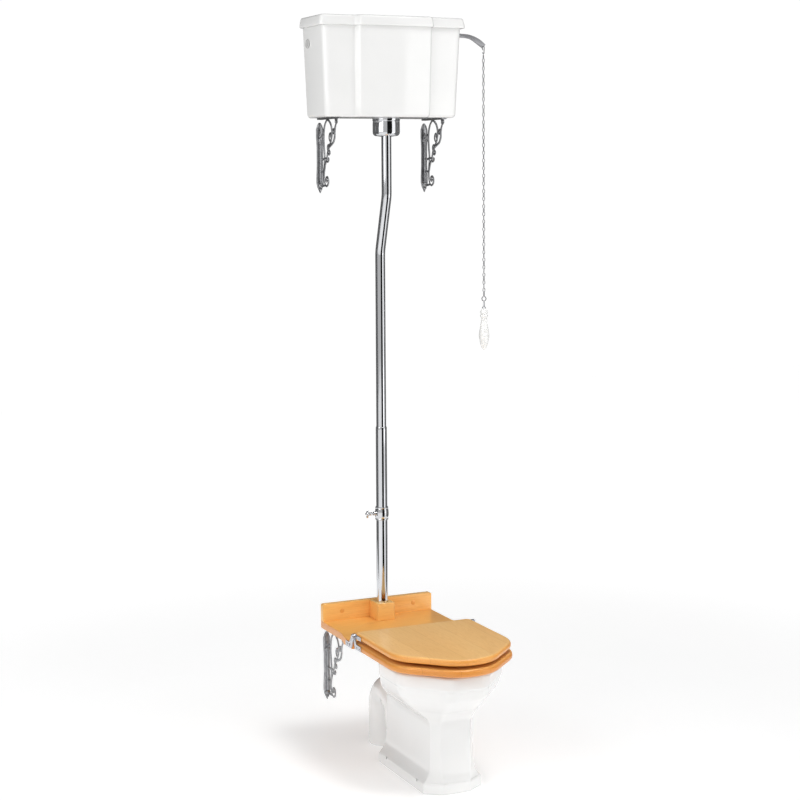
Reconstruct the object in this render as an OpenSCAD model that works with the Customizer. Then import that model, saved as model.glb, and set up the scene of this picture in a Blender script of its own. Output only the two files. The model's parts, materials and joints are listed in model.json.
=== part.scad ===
// High-level toilet: pedestal pan, wooden throne seat on its own shelf, long flush pipe,
// wall cistern on scroll brackets, and a pull chain. Front is -Y, the wall is at +Y, +Z is up.
// The origin is on the floor, under the pan's foot, on the plane of symmetry.

/* [Overall] */
// Distance from the origin to the wall
wall_y = 380; // [376:1:384]
// Height of the cistern lid's top above the floor
top_z = 2352; // [2340:1:2364]

/* [Pan] */
// Height of the pan's rim
rim_z = 380; // [376:1:384]
// Half width of the rim
rim_hw = 176; // [172:1:178]
// Front of the rim, in front of the origin
rim_front = 300; // [296:1:304]
// Height of the vertical rim band
rim_band = 46; // [40:1:52]
// Half width of the foot
foot_hw = 98; // [94:1:102]
// Front of the foot, in front of the origin
foot_front = 213; // [210:1:218]
// Radius of the trap's outside
trap_r = 50; // [48:1:51]
// Radius of the trap's waterway
trap_bore = 38; // [36:1:40]
// Bend radius of the trap's centre line
trap_bend = 63; // [60:1:64]

/* [Seat] */
// Thickness of the shelf, ring and lid boards
board = 23; // [22:1:24]
// Top of the shelf
shelf_z = 410; // [409:1:411]
// Half width of the lid
lid_hw = 200; // [199:0.5:200]
// Front of the lid, in front of the origin
lid_front = 336; // [330:1:340]
// Gap between the ring and the lid
lid_gap = 10; // [9:1:11]
// Height of the upstand board
upstand_h = 57; // [54:1:60]
// Half length of the upstand board
upstand_hw = 195; // [190:1:195]
// Height of the seat's hinge line
hinge_z = 430; // [429:1:431]
// Seat hinge line, behind the origin
hinge_y = 85; // [84:1:86]
// Radius of the seat hinge's pins
hinge_pin_r = 3; // [2.8:0.1:3.2]

/* [Cistern] */
// Half width of the cistern lid
cl_hw = 252; // [250:1:254]
// Height of the cistern lid
cl_h = 33; // [31:1:35]
// Height of the cistern body
cb_h = 283; // [280:1:286]
// Depth of the cistern lid at its flanks
cl_d = 176; // [174:1:178]
// Step of the centre panel in front of the flanks
step = 20; // [18:1:22]
// Half width of the centre panel
panel_hw = 123; // [120:1:126]
// Wall thickness of the cistern
wall_t = 11; // [10:1:12]

/* [Flush pipe] */
// Outer radius of the upper pipe
pipe_r = 16; // [15.5:0.1:16.2]
// Wall of the pipes
pipe_t = 1.4; // [1.2:0.1:1.5]
// Outer radius of the lower pipe
low_r = 18; // [17.8:0.1:18.2]
// Distance from the pipe's lower run to the wall
pipe_wall = 55; // [54:1:56]
// Distance from the cistern's outlet to the wall
outlet_wall = 108; // [107:1:109]

/* [Pull] */
// Distance of the chain from the plane of symmetry
chain_x = 349; // [347:1:351]
// Width of the chain over its links
chain_d = 10; // [9:0.5:10]

/* [Hidden] */
$fn = 48;
body_top = top_z - cl_h;
body_bot = body_top - cb_h;
out_y = wall_y - outlet_wall;
run_y = wall_y - pipe_wall;
ring_bot = shelf_z + 1 - board;
lid_bot = shelf_z + 1 + lid_gap;
lev_z = body_top - 19;
lev_x = 220;
rod_x = 75;
hook_z = lev_z - 30;
val_y = 340;
val_z = body_bot + 232;

// ---- shared shapes ----
// Corner i of outline P, rounded to radius r in n steps
function fillet(P, i, r, n) = let (v = P[i], a = P[(i + len(P) - 1) % len(P)], b = P[(i + 1) % len(P)],
    u = (a - v) / norm(a - v), w = (b - v) / norm(b - v), h = acos(u * w) / 2,
    c = v + (u + w) / norm(u + w) * r / sin(h), p = v + u * r / tan(h) - c, q = v + w * r / tan(h) - c,
    s = atan2(p[1], p[0]), e0 = atan2(q[1], q[0]) - s, e = e0 > 180 ? e0 - 360 : e0 < -180 ? e0 + 360 : e0)
    [for (k = [0:n]) c + r * [cos(s + e * k / n), sin(s + e * k / n)]];
function rounded(P, r, n = 4) = [for (i = [0:len(P) - 1]) each fillet(P, i, r, n)];
// The same, with a radius for each corner
function corners(P, R, n = 4) = [for (i = [0:len(P) - 1]) each fillet(P, i, R[i], n)];
// Eight-sided outline: half widths at the side, back and front, with cut corners
function octo(hw, yb, yf, hb, hf, cb, cf) = [[-hb, yb], [-hw, yb - cb], [-hw, yf + cf], [-hf, yf],
    [hf, yf], [hw, yf + cf], [hw, yb - cb], [hb, yb]];
// A smooth path through hand-chosen points
function cr1(a, b, c, d, t) = 0.5 * (2 * b + (c - a) * t + (2 * a - 5 * b + 4 * c - d) * t * t + (3 * b - a - 3 * c + d) * t * t * t);
function smooth(P, n = 5) = [for (i = [0:len(P) - 2]) for (k = [0:n - 1])
        cr1(P[max(i - 1, 0)], P[i], P[i + 1], P[min(i + 2, len(P) - 1)], k / n), P[len(P) - 1]];
function nrm(p, i) = let (d = p[min(i + 1, len(p) - 1)] - p[max(i - 1, 0)]) [-d[1], d[0]] / norm(d);
module stroke(p, w) polygon(concat([for (i = [0:len(p) - 1]) p[i] + nrm(p, i) * w / 2],
    [for (i = [len(p) - 1:-1:0]) p[i] - nrm(p, i) * w / 2]));
module plate(z, h, P) translate([0, 0, z]) linear_extrude(h) polygon(P);
module along_x(x, y, z, r, l) translate([x, y, z]) rotate([0, 90, 0]) cylinder(r = r, h = l);
module along_y(x, y, z, r, l) translate([x, y, z]) rotate([-90, 0, 0]) cylinder(r = r, h = l);
module both() for (s = [0, 1]) mirror([s, 0, 0]) children();
// Ring of wire in the YZ plane
module ring_yz(x, y, z, R, r) translate([x, y, z]) rotate([0, 90, 0]) rotate_extrude() translate([R, 0]) circle(r);

// ---- pan ----
function rim_pts(g = 0) = rounded(octo(rim_hw - g, 185 - g, -rim_front + g, 72 - g * 0.7, 60 - g * 0.4, 215, 125), 48, 6);
module trap_path(r) {
    // the rise to the crown, the crown and the fall to the floor
    translate([0, 192, 125]) rotate([90, 0, 90]) translate([trap_bend, 0, 0]) rotate_extrude(angle = 180) translate([trap_bend, 0]) circle(r);
    translate([0, 192 + 2 * trap_bend, r < trap_r ? -1 : 0]) cylinder(r = r, h = r < trap_r ? 126 : 125);
    translate([0, 192, 125]) rotate([90, 0, 90]) translate([-trap_bend, 0, 0]) rotate([0, 0, 180]) rotate_extrude(angle = 180) translate([trap_bend, 0]) circle(r);
}
module pan() color("white") difference() {
    union() {
        // foot with its flare
        hull() {
            plate(0, 34, rounded(octo(foot_hw, 152, -foot_front, 90, 45, 8, 34), 7));
            plate(50, 8, rounded(octo(74, 150, -203, 66, 50, 8, 26), 7));
        }
        plate(0, 260, rounded(octo(71, 149, -200, 63, 50, 8, 26), 7));
        // bowl
        hull() {
            plate(221, 1, rounded(octo(71, 149, -200, 63, 50, 8, 26), 7));
            plate(250, 1, rounded(octo(112, 160, -228, 65, 53, 100, 66), 24));
            plate(272, 1, rounded(octo(138, 168, -256, 67, 56, 150, 92), 34));
            plate(300, 1, rounded(octo(160, 176, -282, 69, 58, 190, 112), 42));
            plate(rim_z - rim_band - 6, 6, rounded(octo(rim_hw - 4, 184, -rim_front + 4, 71, 60, 213, 124), 46, 5));
        }
        plate(rim_z - rim_band, rim_band, rim_pts());
        // flush horn
        along_y(0, 150, 330, 30, 54);
        trap_path(trap_r);
    }
    // bowl and its mouth
    hull() {
        plate(rim_z - 1, 3, rounded(octo(124, 68, -262, 72, 64, 66, 104), 32));
        plate(300, 1, rounded(octo(116, 72, -246, 66, 58, 62, 94), 30));
        plate(250, 1, rounded(octo(84, 88, -176, 52, 44, 52, 66), 24));
        plate(222, 1, rounded(octo(56, 98, -118, 38, 32, 42, 50), 20));
    }
    // funnel to the trap
    hull() {
        plate(222, 1.5, rounded(octo(56, 98, -118, 38, 32, 42, 50), 20));
        translate([0, 192 - 2 * trap_bend, 114]) cylinder(r = trap_bore - 3, h = 2);
    }
    trap_path(trap_bore);
    // waterway of the flush horn
    along_y(0, 40, 330, 24, 170);
    // hollow of the pedestal
    plate(-1, 120, rounded(octo(58, -36, -186, 52, 40, 8, 22), 6));
    // side fixings
    for (s = [-1, 1]) for (y = [-133, 87]) along_x(s < 0 ? -foot_hw - 2 : foot_hw - 38, y, s < 0 ? 30 : 31, 4, 40);
}
module pan_inlet_seal() color("dimgray") difference() {
    union() { along_y(0, 176, 330, 23.9, 30); along_y(0, 204.1, 330, 28, 14); }
    along_y(0, 170, 330, low_r, 60);
}

// ---- throne seat ----
// The shelf widens to the hinge plates just behind the hinge line
module seat_shelf() color("goldenrod") difference() {
    plate(shelf_z - board, board, [[-upstand_hw, wall_y], [-upstand_hw, 210], [-207.4, 160], [-207.4, 98],
        [207.4, 98], [207.4, 160], [upstand_hw, 210], [upstand_hw, wall_y]]);
    translate([0, run_y, shelf_z - board - 1]) cylinder(r = low_r + 0.3, h = board + 2);
}
module shelf_upstand() color("goldenrod") difference() {
    translate([0, wall_y, 0]) rotate([90, 0, 0]) linear_extrude(20) polygon(concat(
        [[-upstand_hw, shelf_z], [upstand_hw, shelf_z]], [for (k = [0:4]) [upstand_hw - 6 + 6 * cos(k * 22.5), shelf_z + upstand_h - 6 + 6 * sin(k * 22.5)]],
        [for (k = [4:8]) [-upstand_hw + 6 + 6 * cos(k * 22.5), shelf_z + upstand_h - 6 + 6 * sin(k * 22.5)]]));
    for (x = [-128, 128]) {
        along_y(x, wall_y - 21, shelf_z + 30, 7.5, 9);
        along_y(x, wall_y - 13, shelf_z + 30, 2.5, 14);
    }
}
module pipe_block() color("goldenrod") difference() {
    plate(shelf_z, upstand_h - 1, rounded([[-30, wall_y - 20], [-30, run_y - 32], [30, run_y - 32], [30, wall_y - 20]], 3, 3));
    translate([0, run_y, shelf_z - 1]) cylinder(r = low_r + 0.3, h = 70);
}
module shelf_plugs() color("peru") for (x = [-128, 128]) along_y(x, wall_y - 20.5, shelf_z + 30, 7.4, 7);
module seat_outline(z, h, g, y_back) plate(z, h, corners(octo(lid_hw + g, y_back, -lid_front - g, lid_hw + g - 8, 56, 8, 135),
    [7, 7, 115 + g, 132 + g, 132 + g, 115 + g, 7, 7], 9));
module seat_ring() color("goldenrod") difference() {
    seat_outline(ring_bot, board, 4, 95);
    plate(ring_bot - 1, board + 2, rounded(octo(108, 45, -248, 66, 60, 62, 100), 30, 6));
}
module seat_lid() color("burlywood") seat_outline(lid_bot, board - 2, 0, hinge_y + 10);
// Side-mounted hinges: shelf plate outside, ring strap, then lid strap inside
module yz(x, t) translate([x, 0, 0]) rotate([90, 0, 90]) linear_extrude(t) children();
module hinge_shelf_plates() color("silver") both() difference() {
    yz(207.4, 3.2) union() {
        polygon([[hinge_y - 2, hinge_z - 9], [hinge_y + 6, 405], [100, 389], [142, 389], [142, 407], [112, 407], [hinge_y + 8, hinge_z + 5]]);
        translate([hinge_y, hinge_z]) circle(9);
    }
    along_x(206, hinge_y, hinge_z, hinge_pin_r, 6);
    for (y = [112, 132]) along_x(206, y, 398, 2.2, 6);
}
module hinge_pins() color("silver") both() {
    along_x(200.4, hinge_y, hinge_z, hinge_pin_r, 10.2);
    along_x(210.6, hinge_y, hinge_z, 6.5, 3.4);
}
module ring_hinge_straps() color("silver") both() difference() {
    yz(204, 3) union() {
        polygon([[hinge_y + 8, hinge_z - 3], [hinge_y + 2, 410], [76, 392], [34, 392], [34, 409], [66, 409], [hinge_y - 8, hinge_z - 3]]);
        translate([hinge_y, hinge_z]) circle(9);
    }
    along_x(203, hinge_y, hinge_z, hinge_pin_r + 0.05, 5);
    for (y = [42, 62]) along_x(203, y, 400, 2.2, 5);
}
module lid_hinge_straps() color("silver") both() difference() {
    yz(200, 3.4) union() {
        translate([40, hinge_z - 6]) square([hinge_y - 40, 12]);
        translate([hinge_y, hinge_z]) circle(9);
    }
    along_x(199, hinge_y, hinge_z, hinge_pin_r + 0.05, 5);
    along_x(199, 52, hinge_z, 2.2, 5);
}
// Screws of the shelf plates
module hinge_screws() color("silver") both() for (y = [112, 132]) {
    along_x(210.6, y, 398, 4, 1.4);
    along_x(207.4, y, 398, 2.1, 3.2);
}
module ring_buffers() color("whitesmoke") both() for (p = [[131, 20], [146, -130]])
    translate([p[0], p[1], rim_z]) cylinder(r = 9, h = ring_bot - rim_z);
module lid_buffers() color("whitesmoke") both() for (p = [[160, 20], [150, -150]])
    translate([p[0], p[1], shelf_z + 1]) cylinder(r = 7, h = lid_gap);

// ---- scroll bracket: u from the wall, z down from its top ----
module curl(cu, cz, r) translate([cu, cz]) difference() { circle(r); circle(r - 4.4); }
module bracket_shape() {
    translate([0, -6]) square([150, 6]);
    // pointed foot and finial of the wall stem
    polygon([[0, -56], [6, -46], [10, -60], [18, -70], [9, -80], [9, -206], [18, -214], [9, -226], [5, -239], [0, -226]]);
    stroke(smooth([[74, -4], [44, -22], [35, -56], [38, -92], [42, -128]], 3), 6);
    stroke(smooth([[66, -4], [94, -18], [107, -44], [96, -74], [70, -94], [62, -126]], 3), 6);
    stroke(smooth([[146, -4], [128, -22], [126, -44], [116, -68], [94, -78]], 3), 6);
    stroke(smooth([[62, -122], [42, -146], [36, -176], [44, -214]], 3), 5.5);
    stroke([[6, -128], [64, -128]], 5.5);
    stroke([[6, -214], [56, -214]], 6);
    stroke([[5, -172], [40, -172]], 5);
    curl(117, -45, 11.5);
    curl(138, -15, 11);
    curl(90, -60, 12);
    curl(78, -108, 13);
    curl(72, -132, 9);
    curl(58, -203, 13);
}
// One casting: openwork web, a top flange and a wall strip with two screw holes beside the web
module bracket(x, z) color("slategray") difference() {
    translate([x, wall_y, z]) {
        translate([4.5, 0, 0]) rotate([90, 0, -90]) linear_extrude(9) bracket_shape();
        translate([-9, -150, -5]) cube([18, 150, 5]);
        translate([-12.5, -5, -214]) cube([25, 5, 214]);
    }
    for (dz = [-40, -200]) along_y(x + 8.3, wall_y - 6, z + dz, 2.6, 8);
}
module shelf_bracket_left() bracket(-176, shelf_z - board);
module shelf_bracket_right() bracket(176, shelf_z - board);
module cistern_bracket_left() bracket(-185, body_bot);
module cistern_bracket_right() bracket(185, body_bot);

// ---- cistern ----
module flank(z, h, hw, yf, r = 9, yb = wall_y) plate(z, h, rounded([[-hw, yb], [-hw, yf], [hw, yf], [hw, yb]], r, 3));
module cistern() color("white") difference() {
    union() {
        hull() {
            flank(body_top - 1, 1, cl_hw - 12, wall_y - cl_d + 8);
            flank(body_bot, 1, cl_hw - 25, wall_y - cl_d + 18);
        }
        hull() {
            plate(body_top - 1, 1, octo(panel_hw + 10, wall_y - 20, wall_y - cl_d - step + 8, panel_hw + 10, panel_hw, 1, step));
            plate(body_bot, 1, octo(panel_hw + 6, wall_y - 20, wall_y - cl_d - step + 18, panel_hw + 6, panel_hw - 4, 1, step));
        }
    }
    hull() {
        flank(body_top, 2, cl_hw - 12 - wall_t, wall_y - cl_d + 8 + wall_t, 4, wall_y - wall_t);
        flank(body_bot + 14, 1, cl_hw - 25 - wall_t, wall_y - cl_d + 18 + wall_t, 4, wall_y - wall_t);
    }
    translate([0, out_y, body_bot - 1]) cylinder(r = 23, h = 20);
    for (s = [-1, 1]) along_x(s < 0 ? -260 : 200, val_y, val_z, 11, 60);
    // slot for the lever, open to the rim
    translate([210, out_y - 4, body_top - 35]) cube([60, 8, 60]);
}
module cistern_lid() color("white") difference() {
    union() {
        flank(body_top, cl_h, cl_hw, wall_y - cl_d, 10);
        plate(body_top, cl_h, octo(panel_hw + 13, wall_y - 20, wall_y - cl_d - step, panel_hw + 13, panel_hw + 2, 1, step));
    }
    flank(body_top - 1, 22, cl_hw - 24, wall_y - cl_d + 20, 5, wall_y - 12);
}
module side_hole_plug() color("gainsboro") {
    along_x(-242.5, val_y, val_z, 14, 4);
    along_x(-238.5, val_y, val_z, 10.8, 11);
}

// ---- flush pipe ----
bend_a = atan((run_y - out_y) / 180);
b1 = body_bot - 248;
b2 = b1 - 180;
bt = 100 * tan(bend_a / 2);
// Stations of the upper pipe's centre line as [y, z, tilt], from the foot up, with two bends of radius 100
pipe_line = concat([[run_y, 940, 0]],
    [for (k = [0:5]) let (a = bend_a * k / 5) [run_y - 100 * (1 - cos(a)), b2 - bt + 100 * sin(a), a]],
    [for (k = [5:-1:0]) let (a = bend_a * k / 5) [out_y + 100 * (1 - cos(a)), b1 + bt - 100 * sin(a), a]],
    [[out_y, body_bot - 24, 0]]);
function hoop(s, r, n) = [for (k = [0:n - 1]) let (a = 360 * k / n) [r * cos(a), s[0] + r * sin(a) * cos(s[2]), s[1] + r * sin(a) * sin(s[2])]];
// The upper pipe: straight, a slanted offset towards the wall, then straight down into the lower pipe
module upper_flush_pipe() color("silver") let (n = 40, m = len(pipe_line), q = n * m)
    polyhedron(concat([for (s = pipe_line) each hoop(s, pipe_r, n)], [for (s = pipe_line) each hoop(s, pipe_r - pipe_t, n)]),
        concat([for (i = [0:m - 2]) for (k = [0:n - 1]) let (j = (k + 1) % n, a = i * n) each [[a + k, a + n + k, a + n + j], [a + k, a + n + j, a + j]]],
            [for (i = [0:m - 2]) for (k = [0:n - 1]) let (j = (k + 1) % n, a = q + i * n) each [[a + n + j, a + n + k, a + k], [a + j, a + n + j, a + k]]],
            [for (k = [0:n - 1]) let (j = (k + 1) % n) each [[k, j, q + j], [k, q + j, q + k]]],
            [for (k = [0:n - 1]) let (j = (k + 1) % n, a = q - n, b = 2 * q - n) each [[a + j, a + k, b + k], [a + j, b + k, b + j]]]));
module lower_flush_pipe() color("silver") difference() {
    union() {
        translate([0, run_y, 375]) cylinder(r = low_r, h = 665);
        translate([0, run_y - 45, 375]) rotate([90, 0, 90]) rotate([0, 0, -90]) rotate_extrude(angle = 90) translate([45, 0]) circle(low_r);
        along_y(0, 190, 330, low_r, run_y - 45 - 190);
    }
    translate([0, run_y, 375]) cylinder(r = low_r - pipe_t, h = 666);
    translate([0, run_y - 45, 375]) rotate([90, 0, 90]) rotate([0, 0, -90]) rotate_extrude(angle = 90) translate([45, 0]) circle(low_r - pipe_t);
    along_y(0, 189, 330, low_r - pipe_t, run_y - 45 - 189);
}
module flush_nut() color("silver") translate([0, out_y, 0]) difference() {
    rotate_extrude() polygon(concat([[0, body_bot - 60]], [for (k = [0:6]) [34 + 10 * sin(k * 15), body_bot - 50 - 10 * cos(k * 15)]], [[44, body_bot - 12], [42, body_bot - 11], [42, body_bot], [0, body_bot]]));
    translate([0, 0, body_bot - 54]) cylinder(r = 39, h = 60);
    translate([0, 0, body_bot - 62]) cylinder(r = pipe_r + 0.1, h = 20);
}
module pipe_cone_washer() color("dimgray") translate([0, out_y, body_bot - 52]) difference() {
    cylinder(r = 21.9, h = 10);
    translate([0, 0, -1]) cylinder(r = pipe_r, h = 12);
}
module pipe_collar() color("silver") difference() {
    union() {
        translate([0, run_y, 757]) rotate_extrude() polygon([[low_r, -21], [19.5, -21], [22, -14], [22.5, 0], [22, 14], [19.5, 21], [low_r, 21]]);
        difference() {
            along_x(-30, run_y, 757, 6.5, 10);
            translate([0, run_y, 740]) cylinder(r = 20, h = 34);
        }
    }
    along_x(-32, run_y, 757, 3.1, 16);
}
module collar_screw() color("silver") along_x(-46, run_y, 757, 3, 27);
module collar_knob() color("silver") difference() {
    union() {
        along_x(-47, run_y, 757, 5.5, 12);
        translate([-54, run_y, 757]) rotate([90, 0, 90]) linear_extrude(6) union() { square([26, 6], center = true); square([6, 26], center = true); }
        translate([-51, run_y, 757]) sphere(6.5);
    }
    along_x(-46, run_y, 757, 3, 30);
}

// ---- inside the cistern ----
module siphon() color("lightgray") translate([0, out_y, 0]) difference() {
    union() {
        translate([rod_x, 0, body_bot + 28]) cylinder(r = 38, h = 90);
        translate([rod_x / 2, 0, body_bot + 124]) rotate([90, 0, 0]) rotate_extrude(angle = 180) translate([rod_x / 2, 0]) circle(22);
        translate([rod_x, 0, body_bot + 117]) cylinder(r = 22, h = 7);
        translate([0, 0, body_bot - 42]) cylinder(r = 22, h = 166);
        translate([0, 0, body_bot + 14]) cylinder(r = 33, h = 6);
        translate([rod_x, 0, body_bot + 158]) cylinder(r = 7, h = 26);
    }
    translate([rod_x, 0, body_bot + 27]) cylinder(r = 35, h = 86);
    translate([rod_x, 0, body_bot + 112]) cylinder(r = 19, h = 12);
    translate([rod_x / 2, 0, body_bot + 124]) rotate([90, 0, 0]) rotate_extrude(angle = 180) translate([rod_x / 2, 0]) circle(19);
    translate([0, 0, body_bot - 43]) cylinder(r = 19, h = 167);
    translate([rod_x, 0, body_bot + 150]) cylinder(r = 3.1, h = 40);
}
module siphon_nut() color("lightgray") translate([0, out_y, body_bot - 18]) difference() {
    cylinder(r = 34, h = 17.5, $fn = 8);
    translate([0, 0, -1]) cylinder(r = 22.02, h = 20);
}
module siphon_piston() color("lightgray") translate([rod_x, out_y, 0]) {
    translate([0, 0, body_bot + 38]) cylinder(r = 34.4, h = 5);
    translate([0, 0, body_bot + 43]) cylinder(r = 3, h = lev_z - 32 - 17 - body_bot - 43);
}
module lift_link() color("silver") ring_yz(rod_x, out_y, lev_z - 32 - 9, 9, 1.5);
module lever_fulcrum() color("silver") difference() {
    union() {
        for (y = [-8, 4]) translate([210, out_y + y, lev_z - 14]) cube([17, 4, 26]);
        translate([210, out_y - 8, lev_z - 16]) cube([17, 16, 4]);
    }
    along_y(lev_x, out_y - 10, lev_z, 3.02, 20);
}
module lever_pin() color("silver") along_y(lev_x, out_y - 8.5, lev_z, 3, 17);
lever_over = [[60, -27], [120, -11], [170, 2], [220, 7], [262, 8], [300, 5], [334, -8], [356, -25]];
lever_under = [[345, -37], [322, -22], [297, -8], [262, -5], [220, -7], [170, -11], [120, -25], [60, -39]];
module flush_lever() color("silver") translate([0, out_y + 2, lev_z]) rotate([90, 0, 0]) linear_extrude(4) difference() {
    polygon(concat(smooth(lever_over, 3), smooth(lever_under, 3)));
    translate([lev_x, 0]) circle(3.05);
    translate([chain_x, -30]) circle(3);
    // slot that the lift link slides in
    polygon(concat([for (k = [0:8]) [rod_x + 2.6 * cos(90 + k * 22.5), -32 + 2.6 * sin(90 + k * 22.5)]],
        [for (k = [0:8]) [rod_x + 6 + 2.6 * cos(k * 22.5 - 90), -31 + 2.6 * sin(k * 22.5 - 90)]]));
}
module inlet_valve() color("lightgray") difference() {
    union() {
        along_x(196, val_y, val_z, 10.4, 55);
        along_x(251, val_y, val_z, 10, 21);
        along_x(186, val_y, val_z, 15, 38.8);
        for (y = [-9, 5.5]) translate([162, val_y + y, val_z - 14]) cube([26, 3.5, 18]);
    }
    along_x(205, val_y, val_z, 6, 80);
    along_y(172, val_y - 12, val_z - 6, 2.02, 24);
}
module inlet_nut() color("silver") translate([240.5, val_y, val_z]) rotate([0, 90, 0]) difference() {
    cylinder(r = 17, h = 9, $fn = 6);
    translate([0, 0, -1]) cylinder(r = 10.42, h = 12);
}
arm_a = 28;
module float_arm() color("silver") difference() {
    union() {
        along_y(172, val_y - 4, val_z - 6, 6, 8);
        translate([172, val_y, val_z - 6]) rotate([0, -90 - arm_a, 0]) cylinder(r = 2.5, h = 275);
    }
    along_y(172, val_y - 5, val_z - 6, 2.06, 10);
}
ball_d = 290;
module float_ball() color("darkorange") difference() {
    translate([172 - ball_d * cos(arm_a), val_y - 20, val_z - 6 - ball_d * sin(arm_a)]) sphere(38);
    translate([172, val_y, val_z - 6]) rotate([0, -90 - arm_a, 0]) cylinder(r = 2.5, h = 275);
}
module float_pin() color("silver") along_y(172, val_y - 10, val_z - 6, 2, 20);

// ---- pull ----
chain_top = hook_z - 27;
chain_bot = 1456;
module s_hook() color("silver") translate([chain_x, out_y, 0]) {
    translate([0, 0, hook_z - 8]) rotate([0, 90, 0]) rotate_extrude() translate([8, 0]) circle(1.5);
    translate([0, 0, hook_z - 20.5]) rotate([90, 0, 0]) rotate_extrude() translate([4, 0]) circle(1.5);
}
// Envelope of the hanging chain
module pull_chain() color("silver") translate([chain_x, out_y, chain_bot]) cylinder(r = chain_d / 2, h = chain_top - chain_bot, $fn = 8);
module handle_ring() color("silver") translate([chain_x, out_y, chain_bot - 9]) rotate([90, 0, 0]) rotate_extrude() translate([7.5, 0]) circle(1.5);
// Turned profile, radius against height: pointed end, grooves, belly, waist, two collars and a stud
module pull_handle() color("white") translate([chain_x, out_y, chain_bot - 177]) rotate_extrude() polygon(concat([[0, 0]],
    smooth([[2, 1], [7, 6], [11, 16], [14.5, 30]], 3), [[14, 31], [15, 33]],
    smooth([[15.5, 34], [17, 46], [16, 58], [14, 68]], 3), [[13.2, 69], [13.6, 71]],
    smooth([[13.2, 72], [11, 86], [9.6, 98], [9.2, 106]], 3), [[12.5, 108], [13, 112], [12.5, 116], [9, 117], [9, 119], [12.5, 120], [13, 124], [12.5, 128], [8, 131], [7, 136], [4, 138], [3, 159], [0, 159]]));
pan();
pan_inlet_seal();
seat_shelf();
shelf_upstand();
pipe_block();
shelf_plugs();
shelf_bracket_left();
shelf_bracket_right();
seat_ring();
seat_lid();
hinge_shelf_plates();
hinge_pins();
ring_hinge_straps();
lid_hinge_straps();
hinge_screws();
ring_buffers();
lid_buffers();
flush_nut();
pipe_cone_washer();
upper_flush_pipe();
lower_flush_pipe();
pipe_collar();
collar_screw();
collar_knob();
cistern();
cistern_lid();
side_hole_plug();
cistern_bracket_left();
cistern_bracket_right();
flush_lever();
lever_fulcrum();
lever_pin();
siphon();
siphon_nut();
siphon_piston();
lift_link();
inlet_valve();
inlet_nut();
float_arm();
float_ball();
float_pin();
s_hook();
pull_chain();
handle_ring();
pull_handle();
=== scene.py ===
import json
import math

import bmesh
import bpy
import mathutils
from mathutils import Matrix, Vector


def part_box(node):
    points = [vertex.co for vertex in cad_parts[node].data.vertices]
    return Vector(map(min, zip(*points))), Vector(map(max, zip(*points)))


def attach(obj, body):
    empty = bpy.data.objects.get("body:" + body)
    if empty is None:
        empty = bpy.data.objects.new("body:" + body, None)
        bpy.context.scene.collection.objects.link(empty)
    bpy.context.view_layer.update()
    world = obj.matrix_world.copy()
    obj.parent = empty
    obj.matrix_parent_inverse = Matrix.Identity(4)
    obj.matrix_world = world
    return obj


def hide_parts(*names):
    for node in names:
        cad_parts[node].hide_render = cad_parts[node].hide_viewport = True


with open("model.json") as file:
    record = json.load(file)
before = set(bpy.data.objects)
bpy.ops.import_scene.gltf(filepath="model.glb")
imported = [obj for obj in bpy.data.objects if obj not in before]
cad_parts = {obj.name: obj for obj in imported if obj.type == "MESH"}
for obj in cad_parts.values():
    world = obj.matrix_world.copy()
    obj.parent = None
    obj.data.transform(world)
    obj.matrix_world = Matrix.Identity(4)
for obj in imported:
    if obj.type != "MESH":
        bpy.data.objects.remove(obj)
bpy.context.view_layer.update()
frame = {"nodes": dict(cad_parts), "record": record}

scene = bpy.context.scene
MM = 0.001
BODY = {}
for b, ns in frame["record"]["behaviour"]["bodies"].items():
    for n in ns:
        BODY[n] = b
SLOT = {s["node"]: s["material_slot"] for s in frame["record"]["subparts"]}

# ---------------------------------------------------------------- camera
cam = bpy.data.objects.new("camera", bpy.data.cameras.new("camera"))
scene.collection.objects.link(cam)
scene.camera = cam
cam.data.lens = 78.15
cam.data.sensor_width = 36
cam.data.shift_x = 0.043
cam.data.shift_y = -0.133
cam.data.clip_end = 60
cam.location = (-2.310, -4.769, 1.8445)
look = Vector((0.4043, 0.9122, -0.0663))
q = look.to_track_quat("-Z", "Y")
cam.rotation_mode = "QUATERNION"
cam.rotation_quaternion = q @ mathutils.Quaternion((0, 0, 1), math.radians(-0.4))


# ---------------------------------------------------------------- materials
def rgb(r, g, b):
    f = lambda c: c / 12.92 if c <= 0.04045 else ((c + 0.055) / 1.055) ** 2.4
    return (f(r / 255), f(g / 255), f(b / 255), 1)


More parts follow.
